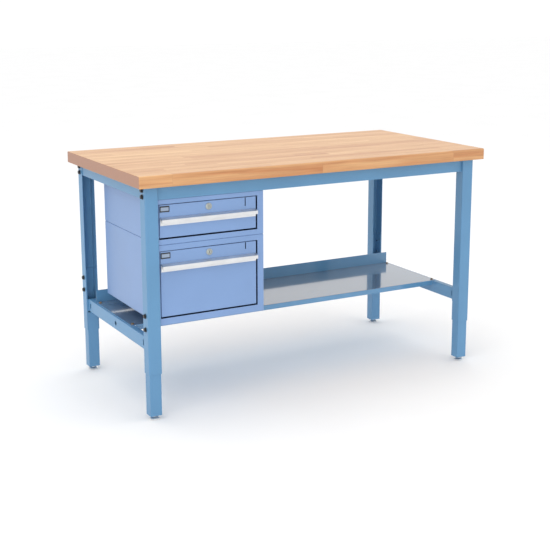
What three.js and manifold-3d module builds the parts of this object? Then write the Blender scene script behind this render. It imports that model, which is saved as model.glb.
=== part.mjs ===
// Height-adjustable production workbench with two hanging drawer cabinets.
// Frame: millimetres, X to the right, Y to the rear, Z up.
// The origin is on the floor under the middle of the worktop.
import * as THREE from "three";
import { mergeVertices } from "three/addons/utils/BufferGeometryUtils.js";
import Module from "manifold-3d";

const wasm = await Module();
wasm.setup();

// Overall sizes.
const BENCH_WIDTH = 1524;
const BENCH_DEPTH = 762;
const BENCH_HEIGHT = 914.4;
const TOP_THICKNESS = 44.45;
const TOP_EDGE_RADIUS = 6;

// Clearances.
const SEAT_GAP = 0.3;
const NEST_CLEARANCE = 0.4;
const HOLE_CLEARANCE = 0.5;
const WELD_OVERLAP = 1;

// Sheet thicknesses.
const LEG_SHEET = 2.3;
const RAIL_SHEET = 2;
const SHELL_SHEET = 1.5;
const BOX_SHEET = 1.2;
const PLATE = 3;

// Round and bend facets.
const BEND_STEPS = 3;
const ROUND_STEPS = 20;
const HOLE_STEPS = 14;
const HEX_STEPS = 6;

// Legs: an upper channel that faces outwards, with its open side towards the middle of the bench.
const LEG_SIDE_INSET = 31.75;
const LEG_FACE_INSET = 29.5;
const LEG_WIDTH = 50.8;
const LEG_DEPTH = 44.45;
const LEG_BEND = 4;
const UPPER_LEG_TAIL = 82.2;
const LEG_BOTTOM = 15;
const HEIGHT_STEP = 25.4;
const HEIGHT_STEPS = 6;
const LOWER_LEG_OVERRUN = 34.8;
const LOWER_LEG_CLOSED_DROP = 7.2;
const LOWER_LEG_MOUTH_GAP = 1;
const PIN_BOLT_RISE = 36.4;
const PIN_BOLT_SPACING = 2 * HEIGHT_STEP;
const TOP_BOLT_DROP = 36.65;
const TOP_BOLT_SPACING = 24;
const BOLT_SHANK_RADIUS = 4;
const BOLT_FLANGE_RADIUS = 9.6;
const BOLT_FLANGE_HEIGHT = 2;
const BOLT_HEX_RADIUS = 7.5;
const BOLT_HEX_HEIGHT = 5.5;
const NUT_HEIGHT = 6.5;

// Levelling feet.
const STUD_RADIUS = 5;
const PAD_RADIUS = 20;
const PAD_EDGE_BREAK = 1;
const PAD_EDGE_HEIGHT = 4;
const PAD_HEIGHT = 9;
const PAD_NECK_RADIUS = 10;
const FOOT_HEX_RADIUS = 9;
const STUD_TOP = 62;

// Rails under the worktop.
const SIDE_RAIL_HEIGHT = 47;
const SIDE_RAIL_FLANGE = 38;
const SIDE_RAIL_TAIL = 20;
const APRON_HEIGHT = 50.65;
const APRON_SETBACK = 11.5;
const APRON_FLANGE = 25;
const APRON_TAB = 22;
const APRON_TAB_MARGIN = 5;
const RAIL_BEND = 3;

// Lower side braces, rectangular tube standing on edge.
const BRACE_WIDTH = 25.4;
const BRACE_HEIGHT = 50.8;
const BRACE_SETBACK = 6;
const BRACE_PLATE_INSET = 1;
const BRACE_BEND = 3;
const BRACE_HOLE_RADIUS = 9;
const BRACE_SLOT_WIDTH = 9;
const BRACE_SLOT_HEIGHT = 22;
const BRACE_SLOT_INSET = 24;

// Lower shelf.
const SHELF_SHEET = 1.7;
const SHELF_DEPTH = 384;
const SHELF_REAR_INSET = 67;
const SHELF_CLEAR_HEIGHT = 43.4;
const SHELF_LIP = 20.4;
const SHELF_UPSTAND = 50.7;
const SHELF_OVERLAP = 15.4;
const SHELF_LIP_RELIEF = 1.6;
const SHELF_BEND = 2.5;

// Drawer cabinets.
const CABINET_WIDTH = 429.5;
const CABINET_SIDE_GAP = 0.45;
const CABINET_REAR_SPACE = 61.5;
const UPPER_CABINET_HEIGHT = 166;
const LOWER_CABINET_HEIGHT = 299;
const LEFT_STILE = 5;
const RIGHT_STILE = 26.5;
const OPENING_TOP_DROP = 17.7;
const OPENING_BOTTOM_RISE_UPPER = 20.3;
const OPENING_BOTTOM_RISE_LOWER = 26.2;
const LOWER_OPENING_TOP_DROP = 21.8;
const LIP_RETURN = 15;
const LIP_UPTURN = 9;
const BRACKET_HEIGHT = 55;

// Cabinet hangers.
const HANGER_FLANGE = 25;
const HANGER_SETBACK = 40;
const HANGER_LENGTH = 480;
const HANGER_INSET = 34;

// Drawers.
const FRONT_GAP_LEFT = 2.5;
const FRONT_GAP_RIGHT = 6.5;
const FRONT_GAP_TOP = 2;
const FRONT_GAP_BOTTOM = 6;
const FRONT_PAN_DEPTH = 17;
const FRONT_PROUD = 1;
const SLOT_WIDTH = 4;
const SLOT_INSET = 42.5;
const UPPER_SLOT_LENGTH = 33;
const LOWER_SLOT_LENGTH = 26;
const BOX_REAR_SPACE = 47;
const BOX_TOP_DROP = 31.4;
const BOX_BOTTOM_RISE = 5;

// Slides.
const SLIDE_THICKNESS = 12.7;
const SLIDE_HEIGHT = 45.7;
const SLIDE_LENGTH = 457;
const SLIDE_SHEET = 1.2;
const SLIDE_SETBACK = 2;
const UPPER_SLIDE_DROP = 76;
const LOWER_SLIDE_DROP = 166;
const MEMBER_STEP = 0.7;
const MIDDLE_STEP_IN = 0.6;
const INNER_RACE = 3.8;

// Drawer pulls.
const PULL_DROP = 45;
const PULL_SHEET = 2.5;
const PULL_REACH = 20;
const PULL_SLOPE = 6;
const PULL_LIP = 13;
const PULL_BACK = 30;
const PULL_END_INSET = 1.5;

// Locks.
const LOCK_DROP = 20;
const LOCK_HEAD_RADIUS = 12.5;
const LOCK_HEAD_HEIGHT = 3;
const LOCK_BODY_RADIUS = 9.5;
const KEYWAY_WIDTH = 2;
const KEYWAY_LENGTH = 9;
const KEYWAY_DEPTH = 2;
const CAM_LENGTH = 30;
const CAM_WIDTH = 13;
const CAM_THICKNESS = 3;
const CAM_CLEARANCE = 1.6;

// Heights and planes that follow from the sizes above.
const TOP_UNDERSIDE = BENCH_HEIGHT - TOP_THICKNESS;
const FRAME_TOP = TOP_UNDERSIDE - SEAT_GAP;
const LEG_OUTER = BENCH_WIDTH / 2 - LEG_SIDE_INSET;
const LEG_INNER = LEG_OUTER - LEG_WIDTH;
const LEG_FACE = BENCH_DEPTH / 2 - LEG_FACE_INSET;
const LEG_MOUTH = LEG_FACE - LEG_DEPTH;
const LEG_MIDDLE = (LEG_FACE + LEG_MOUTH) / 2;
const APRON_FACE = LEG_FACE - APRON_SETBACK;
const CABINET_LEFT = -(LEG_INNER - CABINET_SIDE_GAP);
const CABINET_RIGHT = CABINET_LEFT + CABINET_WIDTH;
const CABINET_FRONT = -APRON_FACE;
const SLIDE_FRONT = CABINET_FRONT + SHELL_SHEET + LIP_RETURN + SLIDE_SETBACK;
const SLIDE_REAR = SLIDE_FRONT + SLIDE_LENGTH;
const CABINET_REAR = SLIDE_REAR + CABINET_REAR_SPACE;
const UPPER_CABINET_TOP = FRAME_TOP - APRON_HEIGHT - SEAT_GAP;
const UPPER_CABINET_BOTTOM = UPPER_CABINET_TOP - UPPER_CABINET_HEIGHT;
const LOWER_CABINET_TOP = UPPER_CABINET_BOTTOM - SEAT_GAP;
const LOWER_CABINET_BOTTOM = LOWER_CABINET_TOP - LOWER_CABINET_HEIGHT;
const SHELF_TOP = LOWER_CABINET_BOTTOM - SHELF_CLEAR_HEIGHT;
const SHELF_UNDERSIDE = SHELF_TOP - SHELF_SHEET;
const SHELF_REAR = LEG_MOUTH - SHELF_REAR_INSET;
const SHELF_FRONT = SHELF_REAR - SHELF_DEPTH;
const BRACE_TOP = SHELF_UNDERSIDE - SEAT_GAP;
const BRACE_BOTTOM = BRACE_TOP - BRACE_HEIGHT;
const BRACE_OUTER = LEG_OUTER - LEG_SHEET - BRACE_SETBACK;
const UPPER_LEG_BOTTOM = BRACE_BOTTOM - UPPER_LEG_TAIL;
const PIN_BOLT_HEIGHT = BRACE_TOP + PIN_BOLT_RISE;
const LOWER_LEG_TOP = PIN_BOLT_HEIGHT + PIN_BOLT_SPACING + LOWER_LEG_OVERRUN;
const LOWER_LEG_CLOSED_TOP = BRACE_BOTTOM - LOWER_LEG_CLOSED_DROP;
const OPENING_LEFT = CABINET_LEFT + LEFT_STILE;
const OPENING_RIGHT = CABINET_RIGHT - RIGHT_STILE;
const FRONT_LEFT = OPENING_LEFT + FRONT_GAP_LEFT;
const FRONT_RIGHT = OPENING_RIGHT - FRONT_GAP_RIGHT;
const FRONT_MIDDLE = (FRONT_LEFT + FRONT_RIGHT) / 2;
const FRONT_FACE = CABINET_FRONT - FRONT_PROUD;
const FRONT_BACK = FRONT_FACE + FRONT_PAN_DEPTH;
const LEFT_SLIDE_FACE = OPENING_LEFT + SEAT_GAP;
const RIGHT_SLIDE_FACE = OPENING_RIGHT - SEAT_GAP;
const BOX_LEFT = LEFT_SLIDE_FACE + SLIDE_THICKNESS + SEAT_GAP;
const BOX_RIGHT = RIGHT_SLIDE_FACE - SLIDE_THICKNESS - SEAT_GAP;
const BOX_FRONT = FRONT_BACK + SEAT_GAP;
const BOX_REAR = CABINET_REAR - BOX_REAR_SPACE;

// What differs between the two cabinets and their drawers.
const UPPER_DRAWER = {
  name: "upper",
  top: UPPER_CABINET_TOP,
  bottom: UPPER_CABINET_BOTTOM,
  openingTop: UPPER_CABINET_TOP - OPENING_TOP_DROP,
  openingBottom: UPPER_CABINET_BOTTOM + OPENING_BOTTOM_RISE_UPPER,
  slotLength: UPPER_SLOT_LENGTH,
  slideDrop: UPPER_SLIDE_DROP,
};
const LOWER_DRAWER = {
  name: "lower",
  top: LOWER_CABINET_TOP,
  bottom: LOWER_CABINET_BOTTOM,
  openingTop: LOWER_CABINET_TOP - LOWER_OPENING_TOP_DROP,
  openingBottom: LOWER_CABINET_BOTTOM + OPENING_BOTTOM_RISE_LOWER,
  slotLength: LOWER_SLOT_LENGTH,
  slideDrop: LOWER_SLIDE_DROP,
};
const DRAWERS = [UPPER_DRAWER, LOWER_DRAWER].map((drawer) => ({
  ...drawer,
  frontTop: drawer.openingTop - FRONT_GAP_TOP,
  frontBottom: drawer.openingBottom + FRONT_GAP_BOTTOM,
}));
const CORNERS = [
  { name: "front_left", sideX: -1, sideY: -1 },
  { name: "front_right", sideX: 1, sideY: -1 },
  { name: "rear_left", sideX: -1, sideY: 1 },
  { name: "rear_right", sideX: 1, sideY: 1 },
];

// Materials, one function each.
function finish(color, roughness, metalness) {
  return new THREE.MeshStandardMaterial({ color, roughness, metalness });
}

function maple() {
  return finish(0xe8bf92, 0.45, 0);
}

function framePaint() {
  return finish(0x5f93c4, 0.4, 0.1);
}

function frontPaint() {
  return finish(0x7f9fd6, 0.35, 0.1);
}

function shelfPaint() {
  return finish(0xaab2c4, 0.15, 0.2);
}

function pullAluminium() {
  return finish(0xe6e9ec, 0.3, 0.9);
}

function zincPlate() {
  return finish(0xb9bec4, 0.35, 0.9);
}

function blackSteel() {
  return finish(0x15171a, 0.45, 0.6);
}

function footPlastic() {
  return finish(0xd6dade, 0.5, 0);
}

// A closed outline with rounded corners; each corner is [a, b] or [a, b, radius].
function outline(corners) {
  const shape = new THREE.Shape();
  corners.forEach(([a, b, radius = 0], index) => {
    const corner = new THREE.Vector2(a, b);
    const towards = (other) => {
      const direction = new THREE.Vector2(other[0], other[1]).sub(corner).normalize();
      return corner.clone().addScaledVector(direction, radius);
    };
    const enter = towards(corners.at(index - 1));
    const leave = towards(corners[(index + 1) % corners.length]);
    if (index === 0) {
      shape.moveTo(enter.x, enter.y);
    } else {
      shape.lineTo(enter.x, enter.y);
    }
    if (radius > 0) {
      shape.quadraticCurveTo(a, b, leave.x, leave.y);
    }
  });
  return shape;
}

// Extrudes an outline between two stations on an axis. The outline's own two coordinates are
// Y and Z for axis x, X and Z for axis y, and X and Y for axis z.
const AXIS_FRAMES = {
  x: [new THREE.Vector3(0, 1, 0), new THREE.Vector3(0, 0, 1), new THREE.Vector3(1, 0, 0)],
  y: [new THREE.Vector3(1, 0, 0), new THREE.Vector3(0, 0, 1), new THREE.Vector3(0, -1, 0)],
  z: [new THREE.Vector3(1, 0, 0), new THREE.Vector3(0, 1, 0), new THREE.Vector3(0, 0, 1)],
};

function prism(axis, from, to, corners) {
  const low = Math.min(from, to);
  const high = Math.max(from, to);
  const options = { depth: high - low, bevelEnabled: false, curveSegments: BEND_STEPS };
  const geometry = new THREE.ExtrudeGeometry(outline(corners), options);
  const [across, along, out] = AXIS_FRAMES[axis];
  geometry.applyMatrix4(new THREE.Matrix4().makeBasis(across, along, out));
  const start = axis === "y" ? -high : low;
  geometry.translate(out.x * start, out.y * start, out.z * start);
  return geometry;
}

// A rectangular block between two opposite corners, given as ranges along X, Y and Z.
function block([x0, x1], [y0, y1], [z0, z1]) {
  const size = [Math.abs(x1 - x0), Math.abs(y1 - y0), Math.abs(z1 - z0)];
  const geometry = new THREE.BoxGeometry(...size);
  geometry.translate((x0 + x1) / 2, (y0 + y1) / 2, (z0 + z1) / 2);
  return geometry;
}

// A round or many-sided bar between two stations on an axis, around a centre point.
function bar(axis, from, to, centre, radius, sides = ROUND_STEPS) {
  const geometry = new THREE.CylinderGeometry(radius, radius, Math.abs(to - from), sides);
  const middle = (from + to) / 2;
  if (axis === "x") {
    geometry.rotateZ(-Math.PI / 2);
    geometry.translate(middle, centre[0], centre[1]);
  } else if (axis === "y") {
    geometry.translate(centre[0], middle, centre[1]);
  } else {
    geometry.rotateX(Math.PI / 2);
    geometry.translate(centre[0], centre[1], middle);
  }
  return geometry;
}

// A manifold-3d solid from a closed three.js geometry.
function solid(geometry) {
  const bare = geometry.index ? geometry.toNonIndexed() : geometry.clone();
  bare.deleteAttribute("normal");
  bare.deleteAttribute("uv");
  const merged = mergeVertices(bare);
  const vertProperties = merged.attributes.position.array;
  const triVerts = new Uint32Array(merged.index.array);
  return new wasm.Manifold(new wasm.Mesh({ numProp: 3, vertProperties, triVerts }));
}

function join(...geometries) {
  return geometries.map(solid).reduce((whole, piece) => whole.add(piece));
}

function cut(whole, ...geometries) {
  return geometries.map(solid).reduce((rest, tool) => rest.subtract(tool), whole);
}

// A three.js geometry from a manifold-3d solid.
function geometryOf(body) {
  const mesh = body.getMesh();
  const geometry = new THREE.BufferGeometry();
  geometry.setAttribute("position", new THREE.BufferAttribute(mesh.vertProperties, mesh.numProp));
  geometry.setIndex(new THREE.BufferAttribute(mesh.triVerts, 1));
  const flat = geometry.toNonIndexed();
  flat.computeVertexNormals();
  return flat;
}

// A named sub-part from a geometry or a solid.
function part(name, shape, material) {
  const geometry = shape.isBufferGeometry ? shape : geometryOf(shape);
  const mesh = new THREE.Mesh(geometry, material);
  mesh.name = name;
  return mesh;
}

// The section of a folded channel. Its web stands on the line a = web, its flanges run to
// a = mouth, and they lie on b = low and b = high.
function channelSection(web, mouth, low, high, sheet, bend) {
  const inward = Math.sign(mouth - web);
  const inner = web + inward * sheet;
  const innerBend = Math.max(bend - sheet, 0);
  return [
    [web, low, bend],
    [mouth, low],
    [mouth, low + sheet],
    [inner, low + sheet, innerBend],
    [inner, high - sheet, innerBend],
    [mouth, high - sheet],
    [mouth, high],
    [web, high, bend],
  ];
}

function swapped(corners) {
  return corners.map(([a, b, radius]) => [b, a, radius]);
}

// Worktop: one laminated slab with its long edges eased.
function worktop() {
  const half = BENCH_DEPTH / 2;
  const section = [
    [-half, TOP_UNDERSIDE, TOP_EDGE_RADIUS / 2],
    [half, TOP_UNDERSIDE, TOP_EDGE_RADIUS / 2],
    [half, BENCH_HEIGHT, TOP_EDGE_RADIUS],
    [-half, BENCH_HEIGHT, TOP_EDGE_RADIUS],
  ];
  return part("worktop", prism("x", -BENCH_WIDTH / 2, BENCH_WIDTH / 2, section), maple());
}

// Heights of the bolts through each leg's outer flange.
function pinBoltHeights() {
  return [PIN_BOLT_HEIGHT, PIN_BOLT_HEIGHT + PIN_BOLT_SPACING];
}

function topBoltHeights() {
  const high = TOP_UNDERSIDE - TOP_BOLT_DROP + TOP_BOLT_SPACING;
  return [high - TOP_BOLT_SPACING, high];
}

// The leg bolts stand in the middle of the outer flange.
function legHole(corner, fromX, toX, height) {
  const centre = [corner.sideY * LEG_MIDDLE, height];
  const radius = BOLT_SHANK_RADIUS + HOLE_CLEARANCE;
  return bar("x", corner.sideX * fromX, corner.sideX * toX, centre, radius, HOLE_STEPS);
}

function upperLeg(corner) {
  const { sideX, sideY } = corner;
  const web = sideY * LEG_FACE;
  const mouth = sideY * LEG_MOUTH;
  const sides = [sideX * LEG_INNER, sideX * LEG_OUTER].sort((a, b) => a - b);
  const section = swapped(channelSection(web, mouth, sides[0], sides[1], LEG_SHEET, LEG_BEND));
  const channel = solid(prism("z", UPPER_LEG_BOTTOM, FRAME_TOP, section));
  const holes = [...pinBoltHeights(), ...topBoltHeights()].map((height) =>
    legHole(corner, LEG_OUTER - 2 * LEG_SHEET, LEG_OUTER + LEG_SHEET, height),
  );
  return part(`upper_leg_${corner.name}`, cut(channel, ...holes), framePaint());
}

// Lower leg: nests in the upper leg.
// It is closed into a box below and open above, with a base plate for the foot.
function lowerLeg(corner) {
  const { sideX, sideY } = corner;
  const shrink = LEG_SHEET + NEST_CLEARANCE;
  const outer = LEG_OUTER - shrink;
  const inner = LEG_INNER + shrink;
  const face = LEG_FACE - shrink;
  const mouth = LEG_MOUTH + LOWER_LEG_MOUTH_GAP;
  const sides = [sideX * inner, sideX * outer].sort((a, b) => a - b);
  const bend = LEG_BEND - LEG_SHEET + NEST_CLEARANCE;
  const section = swapped(channelSection(sideY * face, sideY * mouth, sides[0], sides[1], LEG_SHEET, bend));
  const across = [sides[0] + LEG_SHEET / 2, sides[1] - LEG_SHEET / 2];
  const closing = block(
    across,
    [sideY * mouth, sideY * (mouth + LEG_SHEET)],
    [LEG_BOTTOM, LOWER_LEG_CLOSED_TOP],
  );
  const base = block(across, [sideY * (mouth + LEG_SHEET / 2), sideY * (face - LEG_SHEET / 2)], [
    LEG_BOTTOM,
    LEG_BOTTOM + PLATE,
  ]);
  const leg = join(prism("z", LEG_BOTTOM, LOWER_LEG_TOP, section), closing, base);
  const lowestHole = PIN_BOLT_HEIGHT - HEIGHT_STEPS * HEIGHT_STEP;
  const holeCount = HEIGHT_STEPS + 1 + Math.round(PIN_BOLT_SPACING / HEIGHT_STEP);
  const holes = Array.from({ length: holeCount }, (_, index) =>
    legHole(corner, outer - 2 * LEG_SHEET, outer + LEG_SHEET, lowestHole + index * HEIGHT_STEP),
  );
  const studHole = bar(
    "z",
    LEG_BOTTOM - PLATE,
    LEG_BOTTOM + 2 * PLATE,
    footCentre(corner),
    STUD_RADIUS + HOLE_CLEARANCE,
    HOLE_STEPS,
  );
  return part(`lower_leg_${corner.name}`, cut(leg, ...holes, studHole), framePaint());
}

// Levelling foot: a pad, a hexagon to turn it by and a stud up into the leg.
function footCentre({ sideX, sideY }) {
  return [(sideX * (LEG_OUTER + LEG_INNER)) / 2, (sideY * (LEG_FACE + LEG_MOUTH)) / 2];
}

function foot(corner) {
  const centre = footCentre(corner);
  const profile = [
    [0, 0],
    [PAD_RADIUS - PAD_EDGE_BREAK, 0],
    [PAD_RADIUS, PAD_EDGE_BREAK],
    [PAD_RADIUS, PAD_EDGE_HEIGHT],
    [PAD_NECK_RADIUS, PAD_HEIGHT],
    [0, PAD_HEIGHT],
  ].map(([radius, height]) => new THREE.Vector2(radius, height));
  const pad = new THREE.LatheGeometry(profile, ROUND_STEPS);
  pad.rotateX(Math.PI / 2);
  pad.translate(centre[0], centre[1], 0);
  const hexagonTop = LEG_BOTTOM - SEAT_GAP;
  const hexagon = bar("z", PAD_HEIGHT - WELD_OVERLAP, hexagonTop, centre, FOOT_HEX_RADIUS, HEX_STEPS);
  const stud = bar("z", PAD_HEIGHT, STUD_TOP, centre, STUD_RADIUS, HOLE_STEPS);
  return part(`foot_${corner.name}`, join(pad, hexagon, stud), footPlastic());
}

// Leg bolt: flanged hexagon head outside the leg, shank through it and nut inside.
function legBolt(corner, name, height, grip) {
  const { sideX, sideY } = corner;
  const centre = [sideY * LEG_MIDDLE, height];
  const seat = LEG_OUTER + SEAT_GAP;
  const rim = seat + BOLT_FLANGE_HEIGHT;
  const nutFace = LEG_OUTER - grip - SEAT_GAP;
  const round = (from, to, radius, sides) => bar("x", sideX * from, sideX * to, centre, radius, sides);
  const bolt = join(
    round(nutFace - NUT_HEIGHT, rim, BOLT_SHANK_RADIUS, HOLE_STEPS),
    round(seat, rim, BOLT_FLANGE_RADIUS, ROUND_STEPS),
    round(rim - WELD_OVERLAP, rim + BOLT_HEX_HEIGHT, BOLT_HEX_RADIUS, HEX_STEPS),
    round(nutFace - NUT_HEIGHT, nutFace, BOLT_HEX_RADIUS, HEX_STEPS),
  );
  return part(`bolt_${corner.name}_${name}`, bolt, blackSteel());
}

function legBolts(corner) {
  const pinGrip = 2 * LEG_SHEET + NEST_CLEARANCE;
  const railGrip = LEG_SHEET + SEAT_GAP + RAIL_SHEET;
  const [lowPin, highPin] = pinBoltHeights();
  const [lowTop, highTop] = topBoltHeights();
  return [
    legBolt(corner, "pin_low", lowPin, pinGrip),
    legBolt(corner, "pin_high", highPin, pinGrip),
    legBolt(corner, "top_low", lowTop, railGrip),
    legBolt(corner, "top_high", highTop, railGrip),
  ];
}

// Side top rail: a channel inside the two legs of one side, its open side towards the middle.
function sideRail(name, side) {
  const web = side * (LEG_OUTER - LEG_SHEET - SEAT_GAP);
  const end = LEG_FACE - LEG_SHEET - 2 * SEAT_GAP - LEG_BEND;
  const low = FRAME_TOP - SIDE_RAIL_HEIGHT;
  const top = [
    [web, low, RAIL_BEND],
    [web - side * SIDE_RAIL_TAIL, low],
    [web - side * SIDE_RAIL_TAIL, low + RAIL_SHEET],
    [web - side * RAIL_SHEET, low + RAIL_SHEET],
    [web - side * RAIL_SHEET, FRAME_TOP - RAIL_SHEET],
    [web - side * SIDE_RAIL_FLANGE, FRAME_TOP - RAIL_SHEET],
    [web - side * SIDE_RAIL_FLANGE, FRAME_TOP],
    [web, FRAME_TOP, RAIL_BEND],
  ];
  const rail = solid(prism("y", -end, end, top));
  const holes = [-1, 1].flatMap((sideY) =>
    topBoltHeights().map((height) =>
      legHole({ sideX: side, sideY }, LEG_OUTER - LEG_SHEET - 2 * RAIL_SHEET, LEG_OUTER, height),
    ),
  );
  return part(name, cut(rail, ...holes), framePaint());
}

// Apron: an angle between two legs with a tab folded back at each end.
function apron(name, side) {
  const reach = LEG_INNER - SEAT_GAP;
  const low = FRAME_TOP - APRON_HEIGHT;
  const face = side * APRON_FACE;
  const angle = [
    [face, low],
    [face, FRAME_TOP, RAIL_BEND],
    [face - side * APRON_FLANGE, FRAME_TOP],
    [face - side * APRON_FLANGE, FRAME_TOP - RAIL_SHEET],
    [face - side * RAIL_SHEET, FRAME_TOP - RAIL_SHEET],
    [face - side * RAIL_SHEET, low],
  ];
  const tabs = [-1, 1].map((end) =>
    block(
      [end * reach, end * (reach - RAIL_SHEET)],
      [face - side * WELD_OVERLAP, face - side * APRON_TAB],
      [low + APRON_TAB_MARGIN, FRAME_TOP - APRON_TAB_MARGIN],
    ),
  );
  return part(name, join(prism("x", -reach, reach, angle), ...tabs), framePaint());
}

// Lower side brace: a rectangular tube with a plate welded on each end that closes the leg's open side.
function brace(name, side) {
  const outer = side * BRACE_OUTER;
  const inner = outer - side * BRACE_WIDTH;
  const end = LEG_MOUTH - SEAT_GAP;
  const sides = [outer, inner].sort((a, b) => a - b);
  const ring = (inset, bend) => [
    [sides[0] + inset, BRACE_BOTTOM + inset, bend],
    [sides[1] - inset, BRACE_BOTTOM + inset, bend],
    [sides[1] - inset, BRACE_TOP - inset, bend],
    [sides[0] + inset, BRACE_TOP - inset, bend],
  ];
  const tube = cut(
    solid(prism("y", -end, end, ring(0, BRACE_BEND))),
    prism("y", -end - PLATE, end + PLATE, ring(RAIL_SHEET, BRACE_BEND - RAIL_SHEET)),
  );
  const plates = [-1, 1].map((endSide) =>
    solid(
      block(
        [side * (LEG_INNER + BRACE_PLATE_INSET), side * (LEG_OUTER - BRACE_PLATE_INSET)],
        [endSide * (end - PLATE), endSide * end],
        [BRACE_BOTTOM, BRACE_TOP],
      ),
    ),
  );
  const middleHeight = (BRACE_BOTTOM + BRACE_TOP) / 2;
  const holeFrom = outer - side * 2 * RAIL_SHEET;
  const holeTo = outer + side * RAIL_SHEET;
  const boltHole = bar("x", holeFrom, holeTo, [0, middleHeight], BRACE_HOLE_RADIUS);
  const slots = [-1, 1].map((endSide) => {
    const centreY = endSide * (end - BRACE_SLOT_INSET);
    return block(
      [inner - side * RAIL_SHEET, outer + side * RAIL_SHEET],
      [centreY - BRACE_SLOT_WIDTH / 2, centreY + BRACE_SLOT_WIDTH / 2],
      [middleHeight - BRACE_SLOT_HEIGHT / 2, middleHeight + BRACE_SLOT_HEIGHT / 2],
    );
  });
  const whole = plates.reduce((sum, plate) => sum.add(plate), tube);
  return part(name, cut(whole, boltHole, ...slots), framePaint());
}

// Lower shelf: one folded sheet that lies on the braces, with a lip down in front and an upstand behind.
function shelf() {
  const underside = SHELF_UNDERSIDE;
  const surface = SHELF_TOP;
  const braceInner = BRACE_OUTER - BRACE_WIDTH;
  const reach = braceInner + SHELF_OVERLAP;
  const section = [
    [SHELF_FRONT, surface - SHELF_LIP],
    [SHELF_FRONT + SHELF_SHEET, surface - SHELF_LIP],
    [SHELF_FRONT + SHELF_SHEET, underside],
    [SHELF_REAR, underside, SHELF_BEND],
    [SHELF_REAR, underside + SHELF_UPSTAND],
    [SHELF_REAR - SHELF_SHEET, underside + SHELF_UPSTAND],
    [SHELF_REAR - SHELF_SHEET, surface],
    [SHELF_FRONT, surface, SHELF_BEND],
  ];
  const whole = solid(prism("x", -reach, reach, section));
  const reliefs = [-1, 1].map((side) =>
    block(
      [side * (braceInner - SHELF_LIP_RELIEF), side * (reach + SHELF_SHEET)],
      [SHELF_FRONT - SHELF_SHEET, SHELF_FRONT + 2 * SHELF_SHEET],
      [surface - SHELF_LIP - SHELF_SHEET, underside],
    ),
  );
  return part("lower_shelf", cut(whole, ...reliefs), shelfPaint());
}

// Cabinet shell: five walls and a front frame, with a hooked lip over the opening for the lock
// and a slide bracket along each side wall.
function slideHeight(drawer) {
  return drawer.frontTop - drawer.slideDrop;
}

function cabinet(drawer) {
  const { top, bottom, openingTop, openingBottom } = drawer;
  const shell = cut(
    solid(block([CABINET_LEFT, CABINET_RIGHT], [CABINET_FRONT, CABINET_REAR], [bottom, top])),
    block(
      [CABINET_LEFT + SHELL_SHEET, CABINET_RIGHT - SHELL_SHEET],
      [CABINET_FRONT + SHELL_SHEET, CABINET_REAR - SHELL_SHEET],
      [bottom + SHELL_SHEET, top - SHELL_SHEET],
    ),
    block(
      [OPENING_LEFT, OPENING_RIGHT],
      [CABINET_FRONT - SHELL_SHEET, CABINET_FRONT + 2 * SHELL_SHEET],
      [openingBottom, openingTop],
    ),
  );
  const lipRear = CABINET_FRONT + SHELL_SHEET + LIP_RETURN;
  const lip = [
    [CABINET_FRONT, openingTop],
    [lipRear, openingTop],
    [lipRear, openingTop + LIP_UPTURN],
    [lipRear - SHELL_SHEET, openingTop + LIP_UPTURN],
    [lipRear - SHELL_SHEET, openingTop + SHELL_SHEET],
    [CABINET_FRONT, openingTop + SHELL_SHEET],
  ];
  const middle = slideHeight(drawer);
  const low = middle - BRACKET_HEIGHT / 2;
  const high = middle + BRACKET_HEIGHT / 2;
  const leftWall = CABINET_LEFT + SHELL_SHEET / 2;
  const rightWall = CABINET_RIGHT - SHELL_SHEET / 2;
  const leftBracket = block(
    [leftWall, OPENING_LEFT],
    [SLIDE_FRONT, SLIDE_REAR],
    [low, high],
  );
  const rightBracket = prism(
    "y",
    SLIDE_FRONT,
    SLIDE_REAR,
    channelSection(OPENING_RIGHT, rightWall, low, high, SHELL_SHEET, 0),
  );
  const parts = join(prism("x", OPENING_LEFT, OPENING_RIGHT, lip), leftBracket, rightBracket);
  return part(`${drawer.name}_cabinet`, shell.add(parts), frontPaint());
}

// Cabinet hanger: a channel between the worktop and the upper cabinet.
function hanger(name, middle) {
  const low = UPPER_CABINET_TOP + SEAT_GAP;
  const web = middle - HANGER_FLANGE / 2;
  const front = CABINET_FRONT + HANGER_SETBACK;
  const section = channelSection(web, web + HANGER_FLANGE, low, FRAME_TOP, RAIL_SHEET, RAIL_BEND);
  return part(name, prism("y", front, front + HANGER_LENGTH, section), framePaint());
}

// Drawer front: a shallow pan, open behind.
function drawerFront(drawer) {
  const { frontTop, frontBottom, slotLength } = drawer;
  const pan = cut(
    solid(
      block([FRONT_LEFT, FRONT_RIGHT], [FRONT_FACE, FRONT_BACK], [frontBottom, frontTop]),
    ),
    block(
      [FRONT_LEFT + BOX_SHEET, FRONT_RIGHT - BOX_SHEET],
      [FRONT_FACE + BOX_SHEET, FRONT_BACK + BOX_SHEET],
      [frontBottom + BOX_SHEET, frontTop - BOX_SHEET],
    ),
    bar(
      "y",
      FRONT_FACE - BOX_SHEET,
      FRONT_FACE + 2 * BOX_SHEET,
      [FRONT_MIDDLE, frontTop - LOCK_DROP],
      LOCK_BODY_RADIUS + SEAT_GAP,
    ),
    block(
      [FRONT_RIGHT - SLOT_INSET - SLOT_WIDTH, FRONT_RIGHT - SLOT_INSET],
      [FRONT_FACE - BOX_SHEET, FRONT_FACE + BOX_SHEET * 2],
      [frontTop - slotLength, frontTop + BOX_SHEET],
    ),
  );
  return part(`${drawer.name}_drawer_front`, pan, frontPaint());
}

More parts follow.
